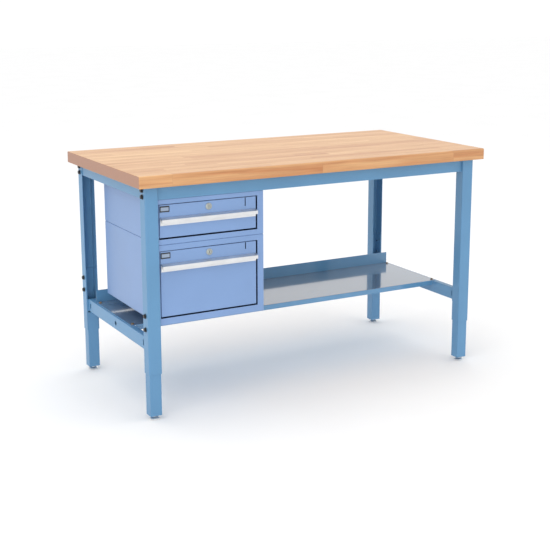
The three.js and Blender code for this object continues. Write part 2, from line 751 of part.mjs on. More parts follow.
// Drawer box: an open tray of folded sheet.
function drawerBox(drawer) {
  const top = drawer.frontTop - BOX_TOP_DROP;
  const bottom = drawer.frontBottom + BOX_BOTTOM_RISE;
  const tray = cut(
    solid(block([BOX_LEFT, BOX_RIGHT], [BOX_FRONT, BOX_REAR], [bottom, top])),
    block(
      [BOX_LEFT + BOX_SHEET, BOX_RIGHT - BOX_SHEET],
      [BOX_FRONT + BOX_SHEET, BOX_REAR - BOX_SHEET],
      [bottom + BOX_SHEET, top + BOX_SHEET],
    ),
  );
  return part(`${drawer.name}_drawer_box`, tray, frontPaint());
}

// Drawer pull: an extrusion across the whole front, open underneath for the fingers.
function pull(drawer) {
  const mount = FRONT_FACE - SEAT_GAP;
  const top = drawer.frontTop - PULL_DROP;
  const lipBottom = top - PULL_SLOPE - PULL_LIP;
  const front = mount - PULL_REACH;
  const section = [
    [mount, top],
    [mount - PULL_SHEET, top],
    [front, top - PULL_SLOPE],
    [front, lipBottom],
    [front + PULL_SHEET, lipBottom],
    [front + PULL_SHEET, top - PULL_SLOPE - PULL_SHEET],
    [mount - PULL_SHEET, top - 2 * PULL_SHEET],
    [mount - PULL_SHEET, top - PULL_BACK],
    [mount, top - PULL_BACK],
  ];
  const extrusion = prism("x", FRONT_LEFT + PULL_END_INSET, FRONT_RIGHT - PULL_END_INSET, section);
  return part(`${drawer.name}_pull`, extrusion, pullAluminium());
}

// Lock: a cylinder with a round head.
// Behind the drawer front, its cam turns up behind the cabinet's lip.
function lock(drawer) {
  const height = drawer.frontTop - LOCK_DROP;
  const centre = [FRONT_MIDDLE, height];
  const seat = FRONT_FACE - SEAT_GAP;
  const headFace = seat - LOCK_HEAD_HEIGHT;
  const camFront = CABINET_FRONT + SHELL_SHEET + LIP_RETURN + CAM_CLEARANCE;
  const camBack = camFront + CAM_THICKNESS;
  const body = join(
    bar("y", headFace, seat, centre, LOCK_HEAD_RADIUS),
    bar("y", seat - WELD_OVERLAP, camBack, centre, LOCK_BODY_RADIUS),
    block(
      [FRONT_MIDDLE, FRONT_MIDDLE + CAM_LENGTH],
      [camFront, camBack],
      [height - CAM_WIDTH / 2, height + CAM_WIDTH / 2],
    ),
  );
  const keyway = block(
    [FRONT_MIDDLE - KEYWAY_WIDTH / 2, FRONT_MIDDLE + KEYWAY_WIDTH / 2],
    [headFace - WELD_OVERLAP, headFace + KEYWAY_DEPTH],
    [height - KEYWAY_LENGTH / 2, height + KEYWAY_LENGTH / 2],
  );
  return part(`${drawer.name}_lock`, cut(body, keyway), zincPlate());
}

// Slide members of one side of one drawer. The outer member is on the cabinet, the inner one on the
// drawer box, and the middle one runs between them.
function slideMembers(drawer, sideName, face, inward) {
  const middle = slideHeight(drawer);
  const along = (t) => face + inward * t;
  const member = (name, web, mouth, half) => {
    const section = channelSection(along(web), along(mouth), middle - half, middle + half, SLIDE_SHEET, 0);
    const geometry = prism("y", SLIDE_FRONT, SLIDE_REAR, section);
    return part(`${drawer.name}_slide_${sideName}_${name}`, geometry, zincPlate());
  };
  const outerHalf = SLIDE_HEIGHT / 2;
  const middleHalf = outerHalf - SLIDE_SHEET - MEMBER_STEP;
  const innerHalf = middleHalf - SLIDE_SHEET - MEMBER_STEP;
  const middleWeb = SLIDE_SHEET + MIDDLE_STEP_IN;
  return [
    member("outer", 0, SLIDE_THICKNESS - INNER_RACE, outerHalf),
    member("middle", middleWeb, SLIDE_THICKNESS - INNER_RACE + MEMBER_STEP, middleHalf),
    member("inner", SLIDE_THICKNESS, middleWeb + INNER_RACE, innerHalf),
  ];
}

function slides(drawer) {
  return [
    ...slideMembers(drawer, "left", LEFT_SLIDE_FACE, 1),
    ...slideMembers(drawer, "right", RIGHT_SLIDE_FACE, -1),
  ];
}

const bench = new THREE.Group();
bench.add(worktop(), apron("front_apron", -1), apron("rear_apron", 1));
bench.add(sideRail("left_side_rail", -1), sideRail("right_side_rail", 1));
bench.add(brace("left_brace", -1), brace("right_brace", 1), shelf());
CORNERS.forEach((corner) => {
  bench.add(upperLeg(corner), lowerLeg(corner), foot(corner), ...legBolts(corner));
});
bench.add(
  hanger("left_hanger", CABINET_LEFT + HANGER_INSET),
  hanger("right_hanger", CABINET_RIGHT - HANGER_INSET),
);
DRAWERS.forEach((drawer) => {
  bench.add(cabinet(drawer), drawerFront(drawer), drawerBox(drawer), pull(drawer), lock(drawer));
  bench.add(...slides(drawer));
});

export default bench;
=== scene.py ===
import math

import bmesh
import bpy
from bpy.props import FloatProperty, FloatVectorProperty, IntProperty, PointerProperty
from bpy.types import Operator, Panel, PropertyGroup
from mathutils import Matrix, Vector


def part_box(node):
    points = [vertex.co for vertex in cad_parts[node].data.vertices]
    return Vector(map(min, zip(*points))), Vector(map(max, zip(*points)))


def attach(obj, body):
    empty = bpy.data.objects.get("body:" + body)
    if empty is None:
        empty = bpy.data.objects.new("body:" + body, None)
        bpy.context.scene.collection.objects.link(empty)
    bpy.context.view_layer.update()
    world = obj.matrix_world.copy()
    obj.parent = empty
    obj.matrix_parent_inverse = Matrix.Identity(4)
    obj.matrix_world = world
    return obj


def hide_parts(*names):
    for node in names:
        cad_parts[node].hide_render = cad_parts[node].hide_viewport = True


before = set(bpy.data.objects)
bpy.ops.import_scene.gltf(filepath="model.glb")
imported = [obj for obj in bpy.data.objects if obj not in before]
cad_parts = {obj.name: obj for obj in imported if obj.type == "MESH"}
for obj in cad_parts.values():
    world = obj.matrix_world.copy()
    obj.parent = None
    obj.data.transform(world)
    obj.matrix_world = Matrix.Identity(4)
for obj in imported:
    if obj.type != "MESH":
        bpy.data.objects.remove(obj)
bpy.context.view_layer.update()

bl_info = {
    "name": "Workbench with drawers",
    "version": (1, 0, 0),
    "blender": (4, 5, 0),
    "location": "3D Viewport > Sidebar > Workbench",
    "description": "Builds the finished pieces of a steel workbench around its frame",
    "category": "Object",
}

CORNERS = ("front_left", "front_right", "rear_left", "rear_right")
BOLT_PLACES = ("pin_low", "pin_high", "top_low", "top_high")
DRAWERS = ("upper", "lower")
SIDES = ("left", "right")

# Places of the colour sockets on a Mix node that works on colours.
MIX_FIRST = 6
MIX_SECOND = 7

# Colours without a setting of their own.
LABEL_BLUE = (0.26, 0.33, 0.44)
OXIDE_AND_KEYWAY_BLACK = (0.012, 0.012, 0.014)
DRAWN_ALUMINIUM = (0.74, 0.75, 0.76)
BRIGHT_ZINC = (0.66, 0.68, 0.70)
YELLOW_ZINC = (0.30, 0.22, 0.15)
LOCK_NICKEL = (0.44, 0.47, 0.45)
GLIDE_NICKEL = (0.82, 0.83, 0.84)
DUST = (0.62, 0.61, 0.58)
GLUE_LINE = (0.30, 0.17, 0.085)
BLACK = (0.0, 0.0, 0.0)
WHITE = (1.0, 1.0, 1.0)

# Scales of the noises, in cells to the metre, and of the growth rings.
GLOSS_SCALE = 3.5
DUST_SCALE = 14.0
PLATING_SCALE = 22.0
HANDLING_SCALE = 130.0
RING_SCALE = 75.0
PAPER_SCALE = 2.0

# Wood noises are stretched along the grain, and each board starts somewhere else in them.
# Staves and boards are counted from lines that lie well outside the slab.
FIGURE_STRETCH = (1.4, 34.0, 34.0)
FIBRE_STRETCH = (9.0, 420.0, 420.0)
BOARD_SHIFT = (7.0, 7.0, 7.0)
HEART_SHIFT = (0.0, 0.05, 0.09)
ACROSS_GRAIN = (0.0, 1.0, 1.0)
STAVE_START = 2.0
BOARD_START = 4.0
FINGER_WIDTH = 0.0022
FINGER_SLOPE = 3.0

UP = (0, 0, 1)
DOWN = (0, 0, -1)
FORWARD = (0, -1, 0)
BACKWARD = (0, 1, 0)

# Angles in degrees. Edges that turn by more than a sharpness are shaded as sharp.
FLAT_ANGLE = 1.0
CORNER_ANGLE = 50.0
FOLD_SHARPNESS = 28.0
FRAME_SHARPNESS = 50.0
WORKTOP_CORNER = 40.0

# Faces across a rounded edge, and round a turned piece.
FOLD_STEPS = 3
CHAMFER_STEPS = 2
WORKTOP_STEPS = 6
THREAD_STEPS = 24
SCREW_STEPS = 20
HEX_WASHER_STEPS = 28
LOCK_STEPS = 48

# An edge is rounded when it is this many radii long, and its faces this many wide.
EDGE_REACH = 6
FACE_REACH = 3

# Sizes in metres from here on.
WELD_GAP = 0.00001
TURNED_GAP = 0.000001
SHORTEST_EDGE = 0.000001
LONG_EDGE = 0.1
NEAR_TOP = 0.001
PAINT_PEEL = 0.00006
METAL_GRAIN = 0.00002
WOOD_RELIEF = 0.00012
RAIL_SHEET = 0.002
BOX_SHEET = 0.0012
SHELF_LIP = 0.0204
SHORT_EDGE_ROUND = 0.0018
BOX_FOLD_ROUND = 0.0012
PULL_ROUND = 0.0006

# A hexagon's radius is to its corners, and its turn about its axis is in radians.
# A thread is given as its root radius, crest radius and pitch.
FOOT_HEX_RADIUS = 0.009
FOOT_HEX_LOW = 0.0086
FOOT_HEX_TOP = 0.0147
FOOT_HEX_TURN = 0.2
FOOT_THREAD = (0.0043, 0.005, 0.0015)
FOOT_THREAD_END = 0.001
FOOT_TIP_RADIUS = 0.0034
FOOT_TIP_LENGTH = 0.0008

BOLT_HEAD_DEPTH = 0.0075
BOLT_HEX_RADIUS = 0.0075
BOLT_HEX_RISE = 0.0010
BOLT_HEX_DROP = 0.0002
BOLT_HEX_CHAMFER = 0.0007
BOLT_SHANK_OVERLAP = 0.0002
BOLT_THREAD = (0.0034, 0.004, 0.00125)
BOLT_FIRST_TURN = 0.35
BOLT_TURN_STEP = 0.5
NUT_LOW = 0.0005
NUT_HIGH = 0.0065
NUT_TURN = 0.3

LOCK_BARREL = 0.0095
LOCK_BARREL_TOP = -0.0031
LOCK_CAM_THICKNESS = 0.003
LOCK_CAM_HALF = 0.0065
LOCK_CAM_ROUND = 0.0008
KEYWAY_HALF_WIDTH = 0.0010
KEYWAY_HALF_HEIGHT = 0.0045
KEYWAY_FROM = 0.0003
KEYWAY_TO = 0.0012
KEYWAY_ROUND = 0.0003

LABEL_INSET = 0.001
LABEL_RISE = 0.005
LABEL_WIDTH = 0.038
LABEL_HALF_HEIGHT = 0.011
LABEL_FRAME_DEPTH = 0.0016
LABEL_FRAME_ROUND = 0.0007
LABEL_RIM = 0.0035
LABEL_CARD_HALF_HEIGHT = 0.0065
LABEL_CARD_FRONT = 0.0021
LABEL_CARD_BACK = 0.0012
LABEL_CARD_ROUND = 0.0004

APRON_BOLT_INSET = 0.014
APRON_BOLT_SETBACK = 0.001
APRON_BOLT_TURN = 0.3
APRON_SCREW_PLACES = (-0.45, 0.0, 0.45)
HANGER_SCREW_SHARES = (0.12, 0.5, 0.88)
SHELF_BOLT_FRONT = 0.016
SHELF_BOLT_REAR = 0.022
SHELF_BOLT_SIDE = 0.010
SHELF_BOLT_TURN = 0.4

SMALL_HEX_RADIUS = 0.005
SMALL_HEX_LOW = 0.0011
SMALL_HEX_HIGH = 0.0048
HEX_CHAMFER = 0.0006
SCREW_SEAT = 0.0002

# Radius and height of the round heads.
WOOD_SCREW = (0.006, 0.0032)
BOX_SCREW = (0.004, 0.0024)
BOX_RIVET = (0.0032, 0.0016)
CABINET_RIVET = (0.004, 0.002)

SLIDE_SCREW_FRONT = 0.045
SLIDE_SCREW_REAR = 0.05
FRONT_SCREW_SIDE = 0.06
FRONT_SCREW_RISE = 0.022
RIVET_SIDE = 0.009
RIVET_LOW = 0.014
RIVET_HIGH = 0.012
CABINET_RIVET_SIDE = 0.02
CABINET_RIVET_RISE = 0.014

# Profiles of turned pieces as (radius, height) pairs.
FOOT_PAD = (
    (0.0, 0.0),
    (0.0185, 0.0),
    (0.0196, 0.0006),
    (0.02, 0.0016),
    (0.02, 0.0036),
    (0.0192, 0.0046),
    (0.0150, 0.0066),
    (0.0115, 0.0084),
    (0.0108, 0.009),
    (0.0, 0.009),
)
BOLT_WASHER = (
    (0.0, 0.0),
    (0.0094, 0.0),
    (0.0096, 0.0004),
    (0.0094, 0.0011),
    (0.0080, 0.0019),
    (0.0, 0.0019),
)
BOLT_DOME = (
    (0.0, 0.0),
    (0.0045, 0.0),
    (0.0058, -0.0004),
    (0.0058, -0.001),
    (0.0, -0.001),
)
HEX_WASHER = (
    (0.0, 0.0),
    (0.0062, 0.0),
    (0.0062, 0.0008),
    (0.0058, 0.0012),
    (0.0, 0.0012),
)
LOCK_BEZEL = (
    (0.0, -0.0030),
    (0.0123, -0.0030),
    (0.0125, -0.0026),
    (0.0125, -0.0016),
    (0.0119, -0.0007),
    (0.0108, -0.0001),
    (0.0098, 0.0),
    (0.0080, -0.0006),
    (0.0077, -0.0022),
    (0.0, -0.0022),
)
LOCK_PLUG = (
    (0.0, -0.0024),
    (0.0073, -0.0024),
    (0.0073, -0.0009),
    (0.0069, -0.0005),
    (0.0, -0.0005),
)

# The same for a screw's dome, as shares of the head's radius and height.
SCREW_DOME = (
    (0.0, 0.45),
    (0.36, 0.45),
    (0.42, 1.0),
    (0.70, 0.93),
    (0.92, 0.62),
)

# Lamps: name, place, power, size and colour. All of them look at the middle of the bench.
LAMPS = (
    ("key", (-4.2, -2.8, 4.4), 40.0, 3.2, (1.0, 0.98, 0.95)),
    ("low", (-3.4, -4.6, 1.0), 42.0, 2.6, (1.0, 0.99, 0.97)),
    ("fill", (3.8, -3.0, 2.6), 8.0, 3.0, (0.93, 0.96, 1.0)),
    ("top", (0.0, 0.6, 4.4), 22.0, 3.0, (1.0, 1.0, 1.0)),
)
LAMP_TARGET = (0.0, 0.0, 0.5)
STUDIO_STRENGTH = 1.06
FLOOR_REACH = 30.0
FLOOR_DROP = 0.0005
CAMERA_PLACE = (-2.2077, -3.9840, 1.5270)
CAMERA_PITCH = 90.0 - 11.952
CAMERA_YAW = -29.461
CAMERA_LENS = 73.45
CAMERA_SENSOR = 36.0
CAMERA_SHIFT = (-0.0214, -0.0746)
CAMERA_REACH = 60.0


# ---------------------------------------------------------------- settings


def colour(name, description, default):
    return FloatVectorProperty(
        name=name,
        description=description,
        default=default,
        subtype="COLOR",
        size=3,
        min=0.0,
        max=1.0,
    )


def length(name, description, default):
    return FloatProperty(
        name=name,
        description=description,
        default=default,
        min=0.0,
        unit="LENGTH",
        subtype="DISTANCE",
    )


def count(name, description, default):
    return IntProperty(name=name, description=description, default=default, min=12, max=96)


class WorkbenchSettings(PropertyGroup):
    maple_light: colour("Light maple", "Colour of the palest staves", (0.76, 0.465, 0.22))
    maple_dark: colour("Dark maple", "Colour of the darkest staves", (0.48, 0.195, 0.072))
    maple_end: colour("Maple end grain", "Colour of the sawn ends", (0.33, 0.18, 0.13))
    frame_blue: colour("Frame blue", "Coat on the legs and rails", (0.107, 0.266, 0.46))
    cabinet_blue: colour("Cabinet blue", "Coat on drawers and cabinets", (0.188, 0.307, 0.55))
    # The shelf top colour is a greyed frame blue: a painted reflection of the bright surroundings.
    shelf_top_reflection_grey: colour("Shelf blue", "Gloss coat on the lower shelf", (0.13, 0.20, 0.30))
    stave_width: length("Stave width", "Width of one stave of the worktop", 0.038)
    board_length: length("Board length", "Length of one board in a stave", 0.62)
    worktop_round: length("Worktop edge", "Radius on the worktop's long edges", 0.006)
    seam_round: length("Cabinet radius", "Outside radius of the cabinets' folds", 0.0028)
    fold_round: length("Fold radius", "Outside radius of the folded sheet edges", 0.0018)
    turned_steps: count("Turned steps", "Faces round a turned piece", 40)


def settings():
    return bpy.context.scene.workbench


# ---------------------------------------------------------------- node tools


def add_node(tree, kind, **values):
    """One shader node, with its attributes given by name."""
    node = tree.nodes.new(kind)
    for key, value in values.items():
        setattr(node, key, value)
    return node


def wire(tree, source, target):
    tree.links.new(source, target)


def feed(tree, value, socket):
    """Links a socket, or sets a plain value."""
    if isinstance(value, bpy.types.NodeSocket):
        wire(tree, value, socket)
    else:
        socket.default_value = value


def math_node(tree, operation, *values):
    node = add_node(tree, "ShaderNodeMath", operation=operation)
    for index, value in enumerate(values):
        feed(tree, value, node.inputs[index])
    return node.outputs[0]


def plus(tree, first, second):
    return math_node(tree, "ADD", first, second)


def minus(tree, first, second):
    return math_node(tree, "SUBTRACT", first, second)


def times(tree, first, second):
    return math_node(tree, "MULTIPLY", first, second)


def over(tree, first, second):
    return math_node(tree, "DIVIDE", first, second)


def spread(tree, value, from_low, from_high, to_low, to_high):
    """Maps one range of values onto another and stops at its ends."""
    node = add_node(tree, "ShaderNodeMapRange", clamp=True)
    feed(tree, value, node.inputs["Value"])
    node.inputs["From Min"].default_value = from_low
    node.inputs["From Max"].default_value = from_high
    node.inputs["To Min"].default_value = to_low
    node.inputs["To Max"].default_value = to_high
    return node.outputs["Result"]


def rgba(value):
    if isinstance(value, bpy.types.NodeSocket):
        return value
    return (*tuple(value)[:3], 1.0)


def mix_colour(tree, factor, first, second):
    node = add_node(tree, "ShaderNodeMix", data_type="RGBA", blend_type="MIX")
    feed(tree, factor, node.inputs["Factor"])
    feed(tree, rgba(first), node.inputs[MIX_FIRST])
    feed(tree, rgba(second), node.inputs[MIX_SECOND])
    return node.outputs[2]


def vector_node(tree, operation, vector, other):
    node = add_node(tree, "ShaderNodeVectorMath", operation=operation)
    wire(tree, vector, node.inputs[0])
    feed(tree, other, node.inputs[1])
    return node.outputs[0]


def stretched(tree, vector, scale):
    return vector_node(tree, "MULTIPLY", vector, scale)


def shifted(tree, vector, offset):
    return vector_node(tree, "ADD", vector, offset)


def shaded(tree, tint, strength):
    """A colour made lighter or darker by a factor."""
    node = add_node(tree, "ShaderNodeVectorMath", operation="SCALE")
    wire(tree, tint, node.inputs[0])
    wire(tree, strength, node.inputs["Scale"])
    return node.outputs[0]


def object_place(tree):
    return add_node(tree, "ShaderNodeTexCoord").outputs["Object"]


def facing(tree):
    """The surface's direction as separate X, Y and Z."""
    split = add_node(tree, "ShaderNodeSeparateXYZ")
    wire(tree, add_node(tree, "ShaderNodeNewGeometry").outputs["Normal"], split.inputs[0])
    return split.outputs


def facing_mask(tree, axis):
    """One where the surface looks along an axis, either way; zero elsewhere."""
    return spread(tree, math_node(tree, "ABSOLUTE", axis), 0.6, 0.9, 0.0, 1.0)


def noise(tree, vector, scale, detail=4.0, roughness=0.5, distortion=0.0):
    node = add_node(tree, "ShaderNodeTexNoise", noise_dimensions="3D")
    wire(tree, vector, node.inputs["Vector"])
    feed(tree, scale, node.inputs["Scale"])
    node.inputs["Detail"].default_value = detail
    node.inputs["Roughness"].default_value = roughness
    node.inputs["Distortion"].default_value = distortion
    return node.outputs["Fac"]


def new_group(name, inputs, outputs):
    """A shader node group with named sockets; returns the group, its inputs and its output node."""
    group = bpy.data.node_groups.new(name, "ShaderNodeTree")
    for socket_name, kind, default in inputs:
        socket = group.interface.new_socket(name=socket_name, in_out="INPUT", socket_type=kind)
        socket.default_value = default
    for socket_name, kind in outputs:
        group.interface.new_socket(name=socket_name, in_out="OUTPUT", socket_type=kind)
    return group, add_node(group, "NodeGroupInput"), add_node(group, "NodeGroupOutput")


# ---------------------------------------------------------------- shared effects


def coat_skin_group():
    """Powder coat: a fine orange peel, slow changes of gloss and a little settled dust."""
    found = bpy.data.node_groups.get("coat_skin")
    if found:
        return found
    group, given, out = new_group(
        "coat_skin",
        [
            ("Peel Scale", "NodeSocketFloat", 450.0),
            ("Base Roughness", "NodeSocketFloat", 0.35),
            ("Dust", "NodeSocketFloat", 0.06),
            ("Color", "NodeSocketColor", (0.5, 0.5, 0.5, 1.0)),
        ],
        [
            ("Color", "NodeSocketColor"),
            ("Roughness", "NodeSocketFloat"),
            ("Height", "NodeSocketFloat"),
        ],
    )
    place = object_place(group)
    peel = noise(group, place, given.outputs["Peel Scale"], detail=2.0, roughness=0.45)
    slow = noise(group, place, GLOSS_SCALE, detail=3.0)
    patch = noise(group, place, DUST_SCALE, detail=3.0, roughness=0.5)
    upward = spread(group, facing(group)["Z"], 0.3, 1.0, 0.0, 1.0)
    settled = times(group, spread(group, patch, 0.45, 0.75, 0.0, 1.0), upward)
    dust = times(group, settled, given.outputs["Dust"])
    tint = shaded(group, given.outputs["Color"], spread(group, slow, 0.3, 0.7, 0.95, 1.05))
    wire(group, mix_colour(group, dust, tint, DUST), out.inputs["Color"])
    gloss = plus(group, given.outputs["Base Roughness"], spread(group, slow, 0.2, 0.8, -0.03, 0.05))
    wire(group, plus(group, gloss, dust), out.inputs["Roughness"])
    wire(group, peel, out.inputs["Height"])
    return group


def metal_grain_group():
    """Bare metal: fine lines along one axis, cloudy plating and faint handling marks."""
    found = bpy.data.node_groups.get("metal_grain")
    if found:
        return found
    group, given, out = new_group(
        "metal_grain",
        [
            ("Stretch", "NodeSocketVector", (4.0, 900.0, 900.0)),
            ("Base Roughness", "NodeSocketFloat", 0.3),
            ("Color", "NodeSocketColor", (0.8, 0.8, 0.8, 1.0)),
        ],
        [
            ("Color", "NodeSocketColor"),
            ("Roughness", "NodeSocketFloat"),
            ("Height", "NodeSocketFloat"),
        ],
    )
    place = object_place(group)
    drawn = stretched(group, place, given.outputs["Stretch"])
    lines = noise(group, drawn, 1.0, detail=3.0, roughness=0.6)
    cloud = noise(group, place, PLATING_SCALE, detail=4.0, roughness=0.6)
    marks = noise(group, place, HANDLING_SCALE, detail=2.0)
    cloud_shade = spread(group, cloud, 0.3, 0.7, 0.93, 1.04)
    line_shade = spread(group, lines, 0.3, 0.7, -0.03, 0.03)
    tint = shaded(group, given.outputs["Color"], plus(group, cloud_shade, line_shade))
    wire(group, tint, out.inputs["Color"])
    handled = spread(group, marks, 0.5, 0.75, 0.0, 0.10)
    scored = spread(group, lines, 0.3, 0.7, -0.03, 0.05)
    rough = plus(group, given.outputs["Base Roughness"], handled)
    wire(group, plus(group, rough, scored), out.inputs["Roughness"])
    wire(group, lines, out.inputs["Height"])
    return group


def maple_stave_group():
    """Edge-glued maple: random boards in staves, long grain, glue lines and sawn end grain."""
    found = bpy.data.node_groups.get("maple_staves")
    if found:
        return found
    masks = ("Board", "Figure", "Fibre", "Seam", "End", "Rings", "Edge")
    group, given, out = new_group(
        "maple_staves",
        [
            ("Stave Width", "NodeSocketFloat", 0.038),
            ("Board Length", "NodeSocketFloat", 0.62),
        ],
        [(mask, "NodeSocketFloat") for mask in masks],
    )
    stave_width = given.outputs["Stave Width"]
    board_length = given.outputs["Board Length"]
    place = object_place(group)
    split = add_node(group, "ShaderNodeSeparateXYZ")
    wire(group, place, split.inputs[0])
    across = over(group, plus(group, split.outputs["Y"], STAVE_START), stave_width)
    stave = math_node(group, "FLOOR", across)
    start = add_node(group, "ShaderNodeTexWhiteNoise", noise_dimensions="1D")
    wire(group, stave, start.inputs["W"])
    zigzag = math_node(group, "PINGPONG", split.outputs["Y"], FINGER_WIDTH)
    fingers = times(group, zigzag, FINGER_SLOPE)
    run = plus(group, plus(group, split.outputs["X"], BOARD_START), fingers)
    along = plus(group, over(group, run, board_length), start.outputs["Value"])
    board = math_node(group, "FLOOR", along)
    pair = add_node(group, "ShaderNodeCombineXYZ")
    wire(group, stave, pair.inputs["X"])
    wire(group, board, pair.inputs["Y"])
    choice = add_node(group, "ShaderNodeTexWhiteNoise", noise_dimensions="3D")
    wire(group, pair.outputs[0], choice.inputs["Vector"])
    wire(group, choice.outputs["Value"], out.inputs["Board"])
    offset = stretched(group, choice.outputs["Color"], BOARD_SHIFT)
    figure_place = shifted(group, stretched(group, place, FIGURE_STRETCH), offset)
    fibre_place = shifted(group, stretched(group, place, FIBRE_STRETCH), offset)
    figure = noise(group, figure_place, 1.0, detail=3.0, roughness=0.55, distortion=0.6)
    fibre = noise(group, fibre_place, 1.0, detail=5.0, roughness=0.65, distortion=0.2)
    wire(group, figure, out.inputs["Figure"])
    wire(group, fibre, out.inputs["Fibre"])
    glue = times(group, math_node(group, "PINGPONG", across, 0.5), stave_width)
    butt = times(group, math_node(group, "PINGPONG", along, 0.5), board_length)
    near = math_node(group, "MINIMUM", glue, butt)
    wire(group, spread(group, near, 0.0002, 0.0007, 1.0, 0.0), out.inputs["Seam"])
    direction = facing(group)
    wire(group, facing_mask(group, direction["X"]), out.inputs["End"])
    wire(group, facing_mask(group, direction["Y"]), out.inputs["Edge"])
    sawn_place = stretched(group, place, ACROSS_GRAIN)
    heart = stretched(group, choice.outputs["Color"], HEART_SHIFT)
    rings = add_node(group, "ShaderNodeTexWave", wave_type="RINGS", rings_direction="X")
    wire(group, shifted(group, sawn_place, heart), rings.inputs["Vector"])
    rings.inputs["Scale"].default_value = RING_SCALE
    rings.inputs["Distortion"].default_value = 1.5
    rings.inputs["Detail Scale"].default_value = 2.0
    wire(group, rings.outputs["Fac"], out.inputs["Rings"])
    return group


# ---------------------------------------------------------------- materials


def blank_material(name):
    """A material with an empty tree, its Principled shader and its output."""
    material = bpy.data.materials.new(name)
    material.use_nodes = True
    tree = material.node_tree
    tree.nodes.clear()
    shader = add_node(tree, "ShaderNodeBsdfPrincipled")
    output = add_node(tree, "ShaderNodeOutputMaterial")
    wire(tree, shader.outputs["BSDF"], output.inputs["Surface"])
    return material, tree, shader


def bump(tree, shader, height, distance):
    node = add_node(tree, "ShaderNodeBump")
    node.inputs["Strength"].default_value = 1.0
    node.inputs["Distance"].default_value = distance
    wire(tree, height, node.inputs["Height"])
    wire(tree, node.outputs["Normal"], shader.inputs["Normal"])


def coated(name, tint, roughness, dust=0.06, peel_scale=450.0, peel_depth=PAINT_PEEL, coat=0.0):
    """Powder-coated steel."""
    found = bpy.data.materials.get(name)
    if found:
        return found
    material, tree, shader = blank_material(name)
    skin = add_node(tree, "ShaderNodeGroup", node_tree=coat_skin_group())
    skin.inputs["Peel Scale"].default_value = peel_scale
    skin.inputs["Base Roughness"].default_value = roughness
    skin.inputs["Dust"].default_value = dust
    skin.inputs["Color"].default_value = rgba(tint)
    wire(tree, skin.outputs["Color"], shader.inputs["Base Color"])
    wire(tree, skin.outputs["Roughness"], shader.inputs["Roughness"])
    shader.inputs["Coat Weight"].default_value = coat
    shader.inputs["Coat Roughness"].default_value = 0.05
    bump(tree, shader, skin.outputs["Height"], peel_depth)
    return material


def bare_metal(name, tint, roughness, stretch=(4.0, 900.0, 900.0), metallic=1.0):
    """Plated or anodised metal."""
    found = bpy.data.materials.get(name)
    if found:
        return found
    material, tree, shader = blank_material(name)
    grain = add_node(tree, "ShaderNodeGroup", node_tree=metal_grain_group())
    grain.inputs["Stretch"].default_value = stretch
    grain.inputs["Base Roughness"].default_value = roughness
    grain.inputs["Color"].default_value = rgba(tint)
    wire(tree, grain.outputs["Color"], shader.inputs["Base Color"])
    wire(tree, grain.outputs["Roughness"], shader.inputs["Roughness"])
    shader.inputs["Metallic"].default_value = metallic
    bump(tree, shader, grain.outputs["Height"], METAL_GRAIN)
    return material


def maple():
    """Oiled maple block, its long edges given a painted shade that makes them darker than its top."""
    found = bpy.data.materials.get("maple_block")
    if found:
        return found
    given = settings()
    material, tree, shader = blank_material("maple_block")
    staves = add_node(tree, "ShaderNodeGroup", node_tree=maple_stave_group())
    staves.inputs["Stave Width"].default_value = given.stave_width
    staves.inputs["Board Length"].default_value = given.board_length
    masks = staves.outputs
    # Faces along Y, the long sides, get less board variation and a tone pushed towards dark maple: a
    # painted shade.
    board_share = spread(tree, masks["Edge"], 0.0, 1.0, 0.42, 0.16)
    figure_share = spread(tree, masks["Figure"], 0.32, 0.68, -0.14, 0.50)
    tone = plus(tree, times(tree, masks["Board"], board_share), figure_share)
    tone = plus(tree, tone, times(tree, masks["Edge"], 0.36))
    wood = mix_colour(tree, tone, given.maple_light, given.maple_dark)
    grained = shaded(tree, wood, spread(tree, masks["Fibre"], 0.35, 0.75, 1.07, 0.80))
    ring_share = spread(tree, masks["Rings"], 0.2, 0.9, 0.0, 0.55)
    end_tone = mix_colour(tree, ring_share, given.maple_end, given.maple_dark)
    sawn = mix_colour(tree, masks["End"], grained, end_tone)
    seamed = mix_colour(tree, times(tree, masks["Seam"], 0.45), sawn, GLUE_LINE)
    wire(tree, seamed, shader.inputs["Base Color"])
    wire(tree, spread(tree, masks["Fibre"], 0.3, 0.7, 0.36, 0.5), shader.inputs["Roughness"])
    shader.inputs["Coat Weight"].default_value = 0.12
    shader.inputs["Coat Roughness"].default_value = 0.25
    relief = minus(tree, masks["Fibre"], times(tree, masks["Seam"], 0.6))
    bump(tree, shader, relief, WOOD_RELIEF)
    return material


def frame_paint():
    return coated("frame_coat", settings().frame_blue, roughness=0.34)


def cabinet_paint():
    return coated("cabinet_coat", settings().cabinet_blue, roughness=0.30)


def shelf_paint():
    """Gloss coat, its upward faces painted greyer than the frame blue as a painted reflection of the bright
    surroundings.
    """
    found = bpy.data.materials.get("shelf_gloss_coat")
    if found:
        return found
    given = settings()
    material = coated(
        "shelf_gloss_coat",
        given.shelf_top_reflection_grey,
        roughness=0.13,
        dust=0.03,
        peel_depth=0.00002,
        coat=1.0,
    )
    tree = material.node_tree
    shader = next(node for node in tree.nodes if node.type == "BSDF_PRINCIPLED")
    skin = next(node for node in tree.nodes if node.type == "GROUP")
    # Upward faces take the greyer shelf top colour as a painted reflection; the other faces keep the frame
    # blue.
    upward = spread(tree, facing(tree)["Z"], 0.5, 0.9, 0.0, 1.0)
    reflection_tint = mix_colour(tree, upward, given.frame_blue, given.shelf_top_reflection_grey)
    wire(tree, reflection_tint, skin.inputs["Color"])
    wire(tree, spread(tree, upward, 0.0, 1.0, 0.35, 0.8), shader.inputs["Coat Weight"])
    return material


def inside_paint():
    return coated("drawer_inside_coat", settings().cabinet_blue, roughness=0.42, dust=0.12)


